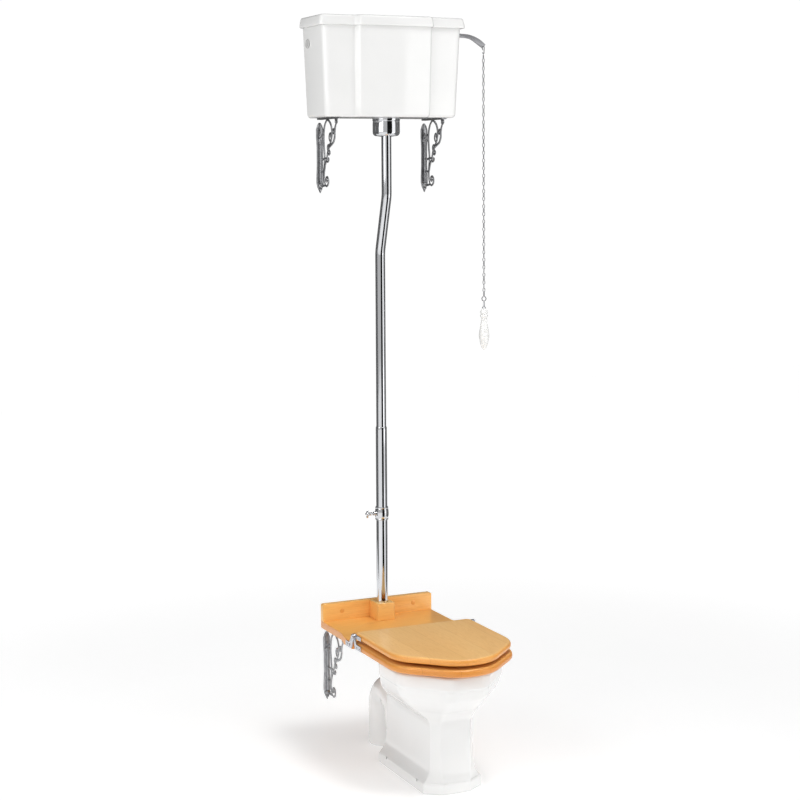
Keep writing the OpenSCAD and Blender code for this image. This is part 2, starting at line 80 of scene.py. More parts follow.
class Mat:
    """A node material with a few short cuts."""

    def __init__(self, name, rough=0.4, metal=0.0, coat=0.0, coat_rough=0.05, spec=0.5):
        self.m = bpy.data.materials.new(name)
        self.m.use_nodes = True
        self.t = self.m.node_tree
        self.p = self.t.nodes["Principled BSDF"]
        self.p.inputs["Roughness"].default_value = rough
        self.p.inputs["Metallic"].default_value = metal
        self.p.inputs["Coat Weight"].default_value = coat
        self.p.inputs["Coat Roughness"].default_value = coat_rough
        self.p.inputs["Specular IOR Level"].default_value = spec
        self.c = self.n("ShaderNodeTexCoord")

    def n(self, kind, **k):
        node = self.t.nodes.new(kind)
        for a, v in k.items():
            if hasattr(node, a):
                setattr(node, a, v)
            else:
                node.inputs[a].default_value = v
        return node

    def l(self, a, b):
        self.t.links.new(a, b)

    def noise(self, scale, detail=3, rough=0.5, stretch=(1, 1, 1), distortion=0.0, shift=(0, 0, 0)):
        mp = self.n("ShaderNodeMapping")
        mp.inputs["Scale"].default_value = stretch
        mp.inputs["Location"].default_value = shift
        self.l(self.c.outputs["Object"], mp.inputs["Vector"])
        no = self.n("ShaderNodeTexNoise")
        for k, v in (("Scale", scale), ("Detail", detail), ("Roughness", rough), ("Distortion", distortion)):
            no.inputs[k].default_value = v
        self.l(mp.outputs[0], no.inputs["Vector"])
        return no.outputs["Fac"]

    def ramp(self, fac, stops):
        r = self.n("ShaderNodeValToRGB")
        el = r.color_ramp.elements
        while len(el) < len(stops):
            el.new(0.5)
        for e, (p, c) in zip(el, stops):
            e.position, e.color = p, c if len(c) == 4 else (*c, 1)
        self.l(fac, r.inputs[0])
        return r.outputs[0]

    def math(self, op, a, b=None, clamp=False):
        x = self.n("ShaderNodeMath", operation=op)
        x.use_clamp = clamp
        for i, v in enumerate((a, b)):
            if v is None:
                continue
            if isinstance(v, (int, float)):
                x.inputs[i].default_value = v
            else:
                self.l(v, x.inputs[i])
        return x.outputs[0]

    def mix(self, kind, fac, a, b):
        x = self.n("ShaderNodeMix", data_type="RGBA", blend_type=kind)
        for i, v in ((0, fac), (6, a), (7, b)):
            if isinstance(v, (int, float)):
                x.inputs[i].default_value = v
            elif isinstance(v, (tuple, list)):
                x.inputs[i].default_value = v
            else:
                self.l(v, x.inputs[i])
        return x.outputs[2]

    def color(self, out):
        self.l(out, self.p.inputs["Base Color"])

    def rough(self, fac, low, high):
        m = self.n("ShaderNodeMapRange")
        m.inputs["To Min"].default_value = low
        m.inputs["To Max"].default_value = high
        self.l(fac, m.inputs["Value"])
        self.l(m.outputs[0], self.p.inputs["Roughness"])

    def bump(self, height, strength, dist=0.001):
        b = self.n("ShaderNodeBump")
        b.inputs["Strength"].default_value = strength
        b.inputs["Distance"].default_value = dist
        self.l(height, b.inputs["Height"])
        self.l(b.outputs[0], self.p.inputs["Normal"])


def glaze(name, tint, rough=0.09):
    m = Mat(name, rough=rough, coat=0.6, coat_rough=0.03)
    big = m.noise(5, 3, 0.5)
    fine = m.noise(900, 2, 0.6)
    pool = m.ramp(big, [(0.3, tuple(c * 0.965 for c in tint)), (0.7, tint)])
    speck = m.ramp(fine, [(0.22, (0.9, 0.89, 0.86)), (0.3, (1, 1, 1))])
    m.color(m.mix("MULTIPLY", 0.35, pool, speck))
    m.rough(m.noise(60, 3), rough * 0.8, rough * 1.5)
    m.bump(m.noise(38, 3, 0.45), 0.05, 0.002)
    return m.m


def wood(name, along, light, mid, dark, stave=0.0, offset=0.0):
    """Oiled and lacquered timber. along is the grain's axis, 0 for X and 1 for Y; stave is the width of the glued boards."""
    m = Mat(name, rough=0.36, coat=0.35, coat_rough=0.16)
    across = 1 - along
    sep = m.n("ShaderNodeSeparateXYZ")
    m.l(m.c.outputs["Object"], sep.inputs[0])
    width = sep.outputs[across]
    pos = m.math("DIVIDE", m.math("ADD", width, 2.0 + offset), stave or 10)
    board = m.math("FLOOR", pos)
    wn = m.n("ShaderNodeTexWhiteNoise", noise_dimensions="1D")
    m.l(board, wn.inputs["W"])
    shift = m.n("ShaderNodeCombineXYZ")
    for i in range(3):
        m.l(m.math("MULTIPLY", wn.outputs["Value"], 7.0 + 3 * i), shift.inputs[i])
    add = m.n("ShaderNodeVectorMath", operation="ADD")
    m.l(m.c.outputs["Object"], add.inputs[0])
    m.l(shift.outputs[0], add.inputs[1])

    def grain(scale, stretch, detail=4, dist=0.0):
        mp = m.n("ShaderNodeMapping")
        s = [stretch[0]] * 3
        s[along] = stretch[1]
        mp.inputs["Scale"].default_value = s
        m.l(add.outputs[0], mp.inputs["Vector"])
        no = m.n("ShaderNodeTexNoise")
        for k, v in (("Scale", scale), ("Detail", detail), ("Roughness", 0.55), ("Distortion", dist)):
            no.inputs[k].default_value = v
        m.l(mp.outputs[0], no.inputs["Vector"])
        return no.outputs["Fac"]

    cloud = grain(5, (1, 0.35), 3, 0.4)
    rings = grain(9, (3.2, 0.25), 5, 1.6)
    lines = m.math("FRACT", m.math("MULTIPLY", rings, 9.0))
    fibre = grain(60, (9, 0.35), 4, 0.1)
    base = m.ramp(cloud, [(0.25, light), (0.75, mid)])
    late = m.ramp(lines, [(0.0, (1, 1, 1)), (0.72, (0.97, 0.95, 0.91)), (0.95, (0.9, 0.83, 0.72)), (1.0, (1, 1, 1))])
    base = m.mix("MULTIPLY", 0.75, base, late)
    thread = m.ramp(fibre, [(0.3, (0.86, 0.8, 0.7)), (0.55, (1, 1, 1))])
    base = m.mix("MULTIPLY", 0.5, base, thread)
    tone = m.ramp(wn.outputs["Value"], [(0.0, (0.93, 0.91, 0.87)), (1.0, (1.0, 1.0, 1.0))])
    base = m.mix("MULTIPLY", 0.8 if stave else 0.0, base, tone)
    if stave:
        edge = m.math("ABSOLUTE", m.math("SUBTRACT", m.math("FRACT", pos), 0.5))
        joint = m.ramp(edge, [(0.0, (1, 1, 1)), (0.488, (1, 1, 1)), (0.5, (0.72, 0.6, 0.48))])
        base = m.mix("MULTIPLY", 0.6, base, joint)
    # painted shade: faces that do not point up (edges, sides, undersides) are multiplied by a darker tint by their
    # normal, so the tops read lighter as if lit from above
    ns = m.n("ShaderNodeSeparateXYZ")
    m.l(m.c.outputs["Normal"], ns.inputs[0])
    up = m.ramp(ns.outputs[2], [(0.55, dark), (0.93, (1, 1, 1, 1))])
    base = m.mix("MULTIPLY", 1.0, base, up)
    m.color(base)
    m.rough(fibre, 0.3, 0.44)
    m.bump(m.math("ADD", m.math("MULTIPLY", fibre, 0.7), m.math("MULTIPLY", lines, 0.3)), 0.12, 0.0006)
    return m.m


def metal(name, col, low, high, scale=40, bump=0.0, dark=0.85, stretch=(1, 1, 1)):
    m = Mat(name, rough=low, metal=1.0)
    v = m.noise(scale, 4, 0.6, stretch)
    m.color(m.ramp(v, [(0.3, tuple(c * dark for c in col)), (0.7, col)]))
    m.rough(m.noise(scale * 2.3, 3, 0.5, stretch), low, high)
    if bump:
        m.bump(m.noise(scale * 6, 3), bump, 0.0008)
    return m.m


def plain(name, col, rough, bump=0.05, scale=120, coat=0.0):
    m = Mat(name, rough=rough, coat=coat)
    v = m.noise(scale, 4)
    m.color(m.ramp(v, [(0.3, tuple(c * 0.86 for c in col)), (0.7, col)]))
    m.rough(v, rough * 0.8, min(1, rough * 1.25))
    m.bump(m.noise(scale * 5, 2), bump, 0.0006)
    return m.m


L3 = lambda *c: rgb(*c)[:3]
M = {
    "ceramic": glaze("ceramic", L3(243, 243, 242)),
    "porcelain": glaze("porcelain", L3(245, 245, 243), 0.07),
    # the fourth colour of each timber is its painted shade, multiplied onto faces that do not point up
    "wood": wood("wood_lid", 1, L3(255, 210, 142), L3(250, 196, 124), (*L3(246, 214, 160), 1), 0.094, 0.0),
    "wood_ring": wood("wood_ring", 1, L3(246, 192, 116), L3(236, 172, 92), (*L3(246, 214, 160), 1), 0.094, 0.02),
    "wood_x": wood("wood_shelf", 0, L3(248, 190, 108), L3(240, 172, 84), (*L3(250, 226, 190), 1), 0.11, 0.03),
    "wood_up": wood("wood_upstand", 0, L3(254, 206, 130), L3(250, 190, 108), (*L3(254, 246, 232), 1)),
    "wood_plug": wood("wood_plug", 0, L3(248, 188, 108), L3(238, 170, 88), (*L3(252, 240, 222), 1)),
    "chrome": metal("chrome", (0.68, 0.69, 0.71), 0.035, 0.08, 30, 0.0, 0.95, (1, 1, 0.2)),
    "pewter": metal("pewter", (0.44, 0.445, 0.46), 0.22, 0.38, 60, 0.22, 0.62),
    "rubber": plain("rubber", (0.03, 0.03, 0.03), 0.75, 0.2),
    "buffer_rubber": plain("buffer_rubber", (0.72, 0.70, 0.64), 0.6, 0.1),
    "hinge_metal": metal("hinge_metal", (0.66, 0.66, 0.69), 0.16, 0.3, 80, 0.04, 0.88),
    "grey_plastic": plain("grey_plastic", (0.42, 0.43, 0.44), 0.42),
    "orange_plastic": plain("orange_plastic", (0.72, 0.2, 0.04), 0.35, 0.03, 60, 0.2),
    "white_plastic": plain("white_plastic", (0.62, 0.62, 0.61), 0.25, 0.02, 60, 0.3),
    "brass": metal("brass", (0.72, 0.52, 0.2), 0.2, 0.36, 50, 0.06, 0.8),
    "chain_steel": metal("chain_steel", (0.40, 0.40, 0.42), 0.10, 0.22, 400, 0.02, 0.7),
    "lever": metal("lever", (0.33, 0.33, 0.345), 0.22, 0.34, 90, 0.03, 0.85),
}


# ---------------------------------------------------------------- mesh helpers
def finish_mesh(name, bm, node, mat, also=(), sharp=38, body=None):
    bmesh.ops.recalc_face_normals(bm, faces=bm.faces[:])
    me = bpy.data.meshes.new(name)
    bm.to_mesh(me)
    bm.free()
    me.shade_smooth()
    me.set_sharp_from_angle(angle=math.radians(sharp))
    me.materials.append(mat)
    o = bpy.data.objects.new(name, me)
    scene.collection.objects.link(o)
    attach(o, body or BODY[node])
    if node:
        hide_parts(node, *also)
    return o


def fillet(P, i, r, n):
    v, a, b = Vector(P[i]), Vector(P[i - 1]), Vector(P[(i + 1) % len(P)])
    u, w = (a - v).normalized(), (b - v).normalized()
    h = math.acos(max(-1, min(1, u.dot(w)))) / 2
    c = v + (u + w).normalized() * (r / math.sin(h))
    p, e = v + u * (r / math.tan(h)) - c, v + w * (r / math.tan(h)) - c
    s = math.atan2(p.y, p.x)
    d = math.atan2(e.y, e.x) - s
    d = d - 2 * math.pi if d > math.pi else d + 2 * math.pi if d < -math.pi else d
    return [c + r * Vector((math.cos(s + d * k / n), math.sin(s + d * k / n))) for k in range(n + 1)]


def rounded(P, r, n=8):
    rs = r if isinstance(r, (list, tuple)) else [r] * len(P)
    return [p for i in range(len(P)) for p in fillet(P, i, rs[i], n)]


def octo(hw, yb, yf, hb, hf, cb, cf):
    return [(-hb, yb), (-hw, yb - cb), (-hw, yf + cf), (-hf, yf), (hf, yf), (hw, yf + cf), (hw, yb - cb), (hb, yb)]


def loft(bm, rings, cap0=True, cap1=True):
    """rings are lists of (x, y, z) in mm with the same count."""
    vs = [[bm.verts.new((p[0] * MM, p[1] * MM, p[2] * MM)) for p in r] for r in rings]
    n = len(rings[0])
    for a, b in zip(vs, vs[1:]):
        for k in range(n):
            bm.faces.new((a[k], a[(k + 1) % n], b[(k + 1) % n], b[k]))
    if cap0:
        bm.faces.new(list(reversed(vs[0])))
    if cap1:
        bm.faces.new(vs[-1])
    return vs


def at(ring, z):
    return [(p[0], p[1], z) for p in ring]


def spline(keys, n):
    """Catmull-Rom through rows of numbers."""
    out = []
    for i in range(len(keys) - 1):
        a, b, c, d = keys[max(i - 1, 0)], keys[i], keys[i + 1], keys[min(i + 2, len(keys) - 1)]
        for k in range(n):
            t = k / n
            out.append([0.5 * (2 * q1 + (r1 - p1) * t + (2 * p1 - 5 * q1 + 4 * r1 - s1) * t * t + (3 * q1 - p1 - 3 * r1 + s1) * t ** 3)
                        for p1, q1, r1, s1 in zip(a, b, c, d)])
    out.append(list(keys[-1]))
    return out


def lathe(bm, profile, place, n=64, cap0=True, cap1=True):
    """profile is (radius, height) in mm; place maps (x, y, z) of the turned shape to the frame."""
    loft(bm, [[place(r * math.cos(2 * math.pi * k / n), r * math.sin(2 * math.pi * k / n), h) for k in range(n)] for r, h in profile], cap0, cap1)


def upright(cx, cy, cz=0):
    return lambda x, y, z: (cx + x, cy + y, cz + z)


def sweep(bm, path, ro, ri=None, n=48, wide=None, up=Vector((0, 0, 1)), closed_ends=True, round_end=0):
    """A bar or tube along a path in mm. ro may be a list; wide makes it an ellipse, with wide along up."""
    P = [Vector(p) for p in path]
    m = len(P)
    T = [(P[min(i + 1, m - 1)] - P[max(i - 1, 0)]).normalized() for i in range(m)]
    side = up.cross(T[0])
    if side.length < 1e-3:
        side = Vector((1, 0, 0)).cross(T[0])
    side.normalize()
    outer, inner = [], []
    for i in range(m):
        side = (side - T[i] * side.dot(T[i])).normalized()
        b = T[i].cross(side).normalized()
        r = ro[i] if isinstance(ro, list) else ro
        w = wide[i] if isinstance(wide, list) else wide or r
        outer.append([P[i] + side * (r * math.cos(2 * math.pi * k / n)) + b * (w * math.sin(2 * math.pi * k / n)) for k in range(n)])
        if ri:
            inner.append([P[i] + side * (ri * math.cos(2 * math.pi * k / n)) + b * (ri * math.sin(2 * math.pi * k / n)) for k in range(n)])
    if ri:
        rings = outer + inner[::-1]
        vs = loft(bm, rings, False, False)
        a, b = vs[0], vs[-1]
        for k in range(n):
            bm.faces.new((b[k], b[(k + 1) % n], a[(k + 1) % n], a[k]))
    else:
        if round_end:
            def dome(ring, c, t, s):
                out = []
                for j in range(1, round_end + 1):
                    a = math.pi / 2 * j / (round_end + 0.35)
                    r0 = (Vector(ring[0]) - c).length
                    out.append([c + (Vector(p) - c) * math.cos(a) + t * (s * r0 * math.sin(a)) for p in ring])
                return out
            outer = dome(outer[0], P[0], T[0], -1)[::-1] + outer + dome(outer[-1], P[-1], T[-1], 1)
        loft(bm, outer, closed_ends, closed_ends)


def refine(node, width=1.0, seg=3, mat=None, angle=32, name=None):
    """A copy of a CAD node with its hard edges rounded, which stands for the node."""
    src = frame["nodes"][node]
    bm = bmesh.new()
    bm.from_mesh(src.data)
    bmesh.ops.remove_doubles(bm, verts=bm.verts[:], dist=2e-6)
    bmesh.ops.dissolve_limit(bm, angle_limit=math.radians(1.0), verts=bm.verts[:], edges=bm.edges[:], delimit=set())
    if width:
        edges = [e for e in bm.edges if len(e.link_faces) == 2 and e.calc_face_angle(0) > math.radians(angle)]
        bmesh.ops.bevel(bm, geom=edges, offset=width * MM, segments=seg, profile=0.5, affect="EDGES", clamp_overlap=True)
    return finish_mesh(name or node + "_v", bm, node, mat or M[SLOT[node]], sharp=42)


def cut(o, cutters):
    """Boolean difference of o with a joined cutter, applied to its mesh."""
    bm = bmesh.new()
    for kind, args in cutters:
        if kind == "x":
            x0, x1, y, z, r = args
            lathe(bm, [(r, 0), (r, x1 - x0)], lambda a, b, h, x0=x0, y=y, z=z: (x0 + h, y + a, z + b), 32)
        elif kind == "z":
            z0, z1, x, y, r = args
            lathe(bm, [(r, 0), (r, z1 - z0)], lambda a, b, h, z0=z0, y=y, x=x: (x + a, y + b, z0 + h), 48)
        else:
            (xa, ya, za), (xb, yb, zb) = args
            loft(bm, [at([(xa, ya), (xb, ya), (xb, yb), (xa, yb)], za), at([(xa, ya), (xb, ya), (xb, yb), (xa, yb)], zb)])
    bmesh.ops.recalc_face_normals(bm, faces=bm.faces[:])
    me = bpy.data.meshes.new("cutter")
    bm.to_mesh(me)
    bm.free()
    c = bpy.data.objects.new("cutter", me)
    scene.collection.objects.link(c)
    mod = o.modifiers.new("cut", "BOOLEAN")
    mod.operation, mod.solver, mod.object = "DIFFERENCE", "EXACT", c
    bpy.context.view_layer.update()
    new = bpy.data.meshes.new_from_object(o.evaluated_get(bpy.context.evaluated_depsgraph_get()))
    old = o.data
    o.modifiers.clear()
    o.data = new
    new.set_sharp_from_angle(angle=math.radians(38))
    bpy.data.meshes.remove(old)
    bpy.data.objects.remove(c)
    bpy.data.meshes.remove(me)


# sizes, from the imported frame, in mm
def mm(node):
    a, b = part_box(node)
    return [v * 1000 for v in (*a, *b)]


WALL = 380.0
c_box, l_box = mm("cistern"), mm("cistern_lid")
BODY_BOT, BODY_TOP, TOP = c_box[2], c_box[5], l_box[5]
OUT_Y = 272.0
RUN_Y = 325.0

# ---------------------------------------------------------------- the pull: chain first
ch = mm("pull_chain")
CX, CY = (ch[0] + ch[3]) / 2, (ch[1] + ch[4]) / 2
z_hi, z_lo = ch[5], ch[2]
LINKS = 63
pitch = (z_hi - z_lo - 2.4) / LINKS
bm = bmesh.new()
for k in range(LINKS):
    zc = z_hi - 1.2 - pitch * (k + 0.5)
    half, wid = pitch / 2 + 1.2 - 0.05, 4.6
    turn = math.radians((45 if k % 2 == 0 else -45) + 12 * math.sin(k * 1.7))
    ring = []
    for j in range(28):
        a = 2 * math.pi * j / 28
        rw = wid - 1.15
        x = rw * math.copysign(abs(math.cos(a)) ** 0.85, math.cos(a))
        z = (half - 1.15) * math.copysign(abs(math.sin(a)) ** 0.85, math.sin(a))
        ring.append((CX + x * math.cos(turn), CY + x * math.sin(turn), zc + z))
    # closed bar round the link
    n = 10
    loops = []
    out = Vector((-math.sin(turn), math.cos(turn), 0))
    for j, p in enumerate(ring):
        t = (Vector(ring[(j + 1) % 28]) - Vector(ring[j - 1])).normalized()
        s = t.cross(out).normalized()
        loops.append([bm.verts.new((Vector(p) + out * (1.15 * math.cos(2 * math.pi * i / n)) + s * (1.15 * math.sin(2 * math.pi * i / n))) * MM) for i in range(n)])
    for j in range(28):
        a, b = loops[j], loops[(j + 1) % 28]
        for i in range(n):
            bm.faces.new((a[i], a[(i + 1) % n], b[(i + 1) % n], b[i]))
chain = finish_mesh("chain_links", bm, "pull_chain", M["chain_steel"])

# porcelain handle with its chrome stud
hb = mm("pull_handle")
prof = [(0.3, 0)] + [tuple(r) for r in spline([(2, 0.6), (6, 4.5), (9.6, 11), (12.6, 20), (14.4, 30)], 6)]
prof += [(14.2, 31.2), (14.3, 32.2), (15.2, 33.2)] + [tuple(r) for r in spline([(15.7, 34.5), (16.9, 45), (16.4, 56), (14.6, 66.5)], 7)]
prof += [(13.5, 68.5), (13.3, 69.8), (13.8, 71)] + [tuple(r) for r in spline([(13.4, 73), (11.6, 84), (9.9, 96), (9.2, 105)], 7)]
prof += [(10.4, 106.5), (12.2, 108.2), (13, 111), (12.9, 113.5), (11.8, 115.6), (9.6, 117), (9.2, 118), (9.8, 119), (12, 120.4), (13, 123), (12.9, 126), (11.4, 128.6), (8.6, 131), (7.2, 134), (6.4, 136.5), (4.4, 138), (0.2, 138.2)]
prof = [(max(r, 0.1), z) for r, z in prof]
bm = bmesh.new()
lathe(bm, prof, upright(CX, CY, hb[2]), 56)
handle = finish_mesh("pull_handle_v", bm, "pull_handle", M["porcelain"], sharp=60)
bm = bmesh.new()
lathe(bm, [(0.2, 136.6), (5.4, 136.8), (6.2, 138), (6.2, 139.6), (5.2, 141), (3.4, 142.5), (2.9, 145), (2.9, 154.5), (2.2, 157), (1.4, 158.6), (0.2, 158.9)], upright(CX, CY, hb[2]), 40)
stud = finish_mesh("handle_stud", bm, None, M["chrome"], body=BODY["pull_handle"])
ring_o = refine("handle_ring", 0, mat=M["chain_steel"])

# S-hook between lever and chain
sb = mm("s_hook")
zt, zb2 = sb[5] - 1.6, sb[2] + 1.6
bm = bmesh.new()
pts = []
for k in range(19):  # upper hook, from its tip over the lever
    a = math.radians(-60 + 235 * k / 18)
    pts.append((CX, CY + 6.3 * math.cos(a), zt - 6.3 + 6.3 * math.sin(a)))
for k in range(1, 19):  # lower hook, opening the other way
    a = math.radians(120 + 235 * k / 18)
    pts.append((CX, CY + 4.6 * math.cos(a) - 0.6, zb2 + 4.6 + 4.6 * math.sin(a)))
pts = [tuple(p) for p in spline([list(p) for p in pts[::2]], 4)]
sweep(bm, pts, 1.5, n=14, up=Vector((1, 0, 0)), round_end=4)
finish_mesh("s_hook_v", bm, "s_hook", M["chain_steel"])

# ---------------------------------------------------------------- pan
N8 = 9


def pan_ring(z, hw, yb, yf, hb, hf, cb, cf, r):
    ring = rounded(octo(hw, yb, yf, hb, hf, cb, cf), r, N8)
    return at(ring, z)


def inset(k, d):
    """k is a row (z, hw, yb, yf, hb, hf, cb, cf, r) drawn in by d."""
    z, hw, yb, yf, hb, hf, cb, cf, r = k
    return [z, hw - d, yb - d, yf + d, hb - d * 0.5, hf - d * 0.42, cb, cf, max(r - d * 0.5, 2)]


foot = [0, 98, 152, -213, 90, 45, 8, 34, 7.5]
col = [60, 74, 150, -203, 66, 50, 8, 26, 9]
rows = []
rows.append([0, 92, 146, -207, 86, 42, 8, 33, 6])
rows.append(inset([0.6, *foot[1:]], 2.2))
rows.append(inset([2.4, *foot[1:]], 0.5))
rows.append([5, *foot[1:]])
rows.append([20, *foot[1:]])
rows.append([29, *foot[1:]])
rows += [inset([32, *foot[1:]], 0.7), inset([34.5, *foot[1:]], 2.6)]
lerp = lambda a, b, t: [x + (y - x) * t for x, y in zip(a, b)]
for z, t in ((36.5, 0.2), (40, 0.34), (45, 0.5), (51, 0.64), (58, 0.77), (65, 0.87), (73, 0.95), (81, 1.0)):
    r = lerp(foot, [67, 73.6, 150, -203, 66, 50, 8, 27, 9], t)
    r[0] = z
    rows.append(r)
rows += [[92, 72.8, 149.6, -202.2, 65, 50, 8, 27, 9.5], [110, 72, 149.3, -201.4, 64.5, 50, 8, 27, 10], [140, 71.4, 149, -200.6, 64, 50, 8, 27, 10], [170, 71, 149, -200.2, 63, 50, 8, 27, 10], [196, 71, 149, -200, 63, 50, 9, 27, 11]]
bowl = spline([[212, 72, 149.5, -200.6, 63, 50, 12, 29, 13], [222, 77, 151, -204, 63.4, 50.5, 24, 34, 16], [235, 92, 154.5, -214, 64, 51.5, 60, 48, 22],
               [251, 113, 160.5, -229, 65, 53, 102, 67, 30], [262, 126, 164.5, -243, 66, 54.5, 127, 80, 36], [274, 139, 168.5, -257, 67, 56, 151, 93, 42], [287, 150.5, 172.5, -270, 68, 57, 171, 104, 47],
               [301, 160.5, 176.2, -282, 69, 58, 190, 112, 51], [316, 167, 180, -290, 70, 59, 202, 118, 54], [328, 171, 182.6, -294.5, 70.8, 59.6, 210, 122, 56], [333, 172, 183.4, -295.6, 71, 59.8, 212, 123, 56]], 5)
rows += bowl
rim = [380, 176, 185, -300, 72, 60, 215, 125, 58]
rows += [[335.4, 173, 184, -297, 71.4, 60, 213.4, 124, 57], [338, 174.8, 184.6, -299, 71.8, 60, 214.4, 124.6, 58], [342, 175.8, 185, -299.8, 72, 60, 215, 125, 58],
         [350, 176, 185, -300, 72, 60, 215, 125, 58], [362, 176, 185, -300, 72, 60, 215, 125, 58], [371, 176, 185, -300, 72, 60, 215, 125, 58]]
for k in range(1, 7):
    a = math.radians(15 * k)
    rows.append(inset([371 + 9 * math.sin(a), *rim[1:]], 9 * (1 - math.cos(a))))
inner = [380, 124, 68, -262, 72, 64, 66, 104, 46]
rows.append([380, *inset(inner, -6)[1:]])
for k in range(1, 6):
    a = math.radians(18 * k)
    rows.append([380 - 6 * (1 - math.cos(a)), *inset(inner, -6 + 6 * math.sin(a))[1:]])
rows += [[366, 124, 68, -262, 72, 64, 66, 104, 46], [344, 121.5, 69, -258, 70, 62, 65, 101, 45]]
rows += spline([[332, 119.6, 70, -255, 69, 61, 64, 99, 44], [316, 117.6, 71, -250, 67.5, 59.6, 63, 96.5, 43], [300, 115, 72.4, -245, 66, 58, 62, 94, 42],
                [276, 101, 79.5, -213, 59.5, 51.5, 57, 80.5, 38], [250, 83, 88, -176, 52, 44, 52, 66, 33], [236, 69.5, 93, -147, 45, 38, 47, 58, 30],
                [222, 55.5, 98, -118, 38, 32, 42, 50, 26], [195, 50, 99, -84, 32, 28, 38, 44, 24], [165, 45, 100, -40, 27, 24, 34, 39, 21], [138, 38.5, 101, 8, 20, 19, 29, 34, 17], [122, 34.5, 100, 32, 15, 15, 24, 28, 14]], 5)
bm = bmesh.new()
loft(bm, [pan_ring(*r) for r in rows])
pan = finish_mesh("pan_v", bm, "pan", M["ceramic"], sharp=80)
cut(pan, [("x", (-104, -70, -133, 30, 4.2)), ("x", (70, 104, -133, 31, 4.2)), ("x", (-104, -70, 87, 30, 4.2)), ("x", (70, 104, 87, 31, 4.2))])
# trap: rise, crown and fall, starting inside the back of the pedestal and drawn in a little at its foot
pth, rad = [], []
for k in range(13):
    a = math.radians(-90 + 90 * k / 12)
    pth.append((0, 129 + 63 * math.cos(a), 125 + 63 * math.sin(a)))
    rad.append(50.0)
for k in range(1, 33):
    a = math.radians(180 - 180 * k / 32)
    pth.append((0, 255 + 63 * math.cos(a), 125 + 63 * math.sin(a)))
    rad.append(50.0)
for z in (112, 96, 80, 64, 48, 32, 18, 8, 3, 1, 0):
    pth.append((0, 318, z))
    rad.append({3: 49.6, 1: 48.8, 0: 47.6}.get(z, 50.0))
bm = bmesh.new()
sweep(bm, pth, rad, 38, 72, up=Vector((1, 0, 0)))
trap = finish_mesh("pan_trap", bm, None, M["ceramic"], body=BODY["pan"], sharp=50)
# the flush horn at the back of the rim
bm = bmesh.new()
lathe(bm, [(24.2, 54), (24.2, 10), (28, 2), (40, -4), (36, 0), (33.5, 4), (31.6, 9), (30.3, 16), (30, 24), (30, 50), (29.4, 52.6), (27.8, 54), (24.2, 54)],
      lambda x, y, z: (x, 150 + z, 330 + y), 56, False, False)
bmesh.ops.remove_doubles(bm, verts=bm.verts[:], dist=1e-6)
horn = finish_mesh("pan_horn", bm, None, M["ceramic"], body=BODY["pan"])
refine("pan_inlet_seal", 1.2)

# ---------------------------------------------------------------- throne seat
refine("seat_shelf", 3.2, 4, M["wood_x"])
refine("shelf_upstand", 2.6, 4, M["wood_up"])
refine("pipe_block", 2.6, 4, M["wood_up"])
refine("shelf_plugs", 0.6, 2, M["wood_plug"])


def board_ring(hw, yb, yf, hb, hf, cb, cf, r, z, d):
    R = [7, 7, r - d, r + 17 - d, r + 17 - d, r - d, 7, 7]
    return at(rounded(octo(hw - d, yb - d, yf + d, hb - d * 0.9, hf - d * 0.42, cb, cf), R, 12), z)


rb, lb = mm("seat_ring"), mm("seat_lid")


def edge(z0, z1, r, n=7):
    """(height, inset) down a bull-nosed edge from the bottom face to the top one."""
    out = []
    for k in range(n + 1):
        a = math.pi / 2 * k / n
        out.append((z0 + r * (1 - math.cos(a)), r * (1 - math.sin(a))))
    for k in range(n + 1):
        a = math.pi / 2 * k / n
        out.append((z1 - r * (1 - math.sin(a)), r * (1 - math.cos(a))))
    return out


# lid
front, back = lb[1], lb[4]
bm = bmesh.new()
loft(bm, [board_ring(lb[3], back, front, lb[3] - 8, 56, 8, 135, 115, z, d) for z, d in edge(lb[2], lb[5], 8.6)])
finish_mesh("seat_lid_v", bm, "seat_lid", M["wood"])
# ring: outer bull nose joined to the opening's rounded lip
bm = bmesh.new()
rr, rf, rk = rb[3], rb[1], rb[4]
outer = [board_ring(rr, rk, rf, rr - 8, 56, 8, 135, 119, z, d) for z, d in edge(rb[2], rb[5], 9.2)]


def hole(z, d):
    ring = rounded(octo(108 + d, 45 + d, -248 - d, 66 + d * 0.5, 60 + d * 0.42, 62, 100), 40, 12)
    return at(ring, z)


lip = [hole(z, d) for z, d in edge(rb[2], rb[5], 7.0)]
loft(bm, outer + lip[::-1] + [outer[0]], False, False)
bmesh.ops.remove_doubles(bm, verts=bm.verts[:], dist=1e-6)
finish_mesh("seat_ring_v", bm, "seat_ring", M["wood_ring"])

refine("hinge_shelf_plates", 0.7, 3)
refine("hinge_pins", 0.9, 3)
refine("ring_hinge_straps", 0.7, 3)
refine("lid_hinge_straps", 0.7, 3)
refine("hinge_screws", 0.5, 3)
refine("ring_buffers", 1.5, 3)
refine("lid_buffers", 1.5, 3)

# ---------------------------------------------------------------- brackets
def spiral(c, r, a0, turns, r1, n=26):
    """Points of a scroll that winds in from radius r at angle a0 to r1."""
    out = []
    for k in range(n + 1):
        t = k / n
        a = math.radians(a0) + 2 * math.pi * turns * t
        q1 = r + (r1 - r) * t ** 0.85
        out.append((c[0] + q1 * math.cos(a), c[1] + q1 * math.sin(a)))
    return out


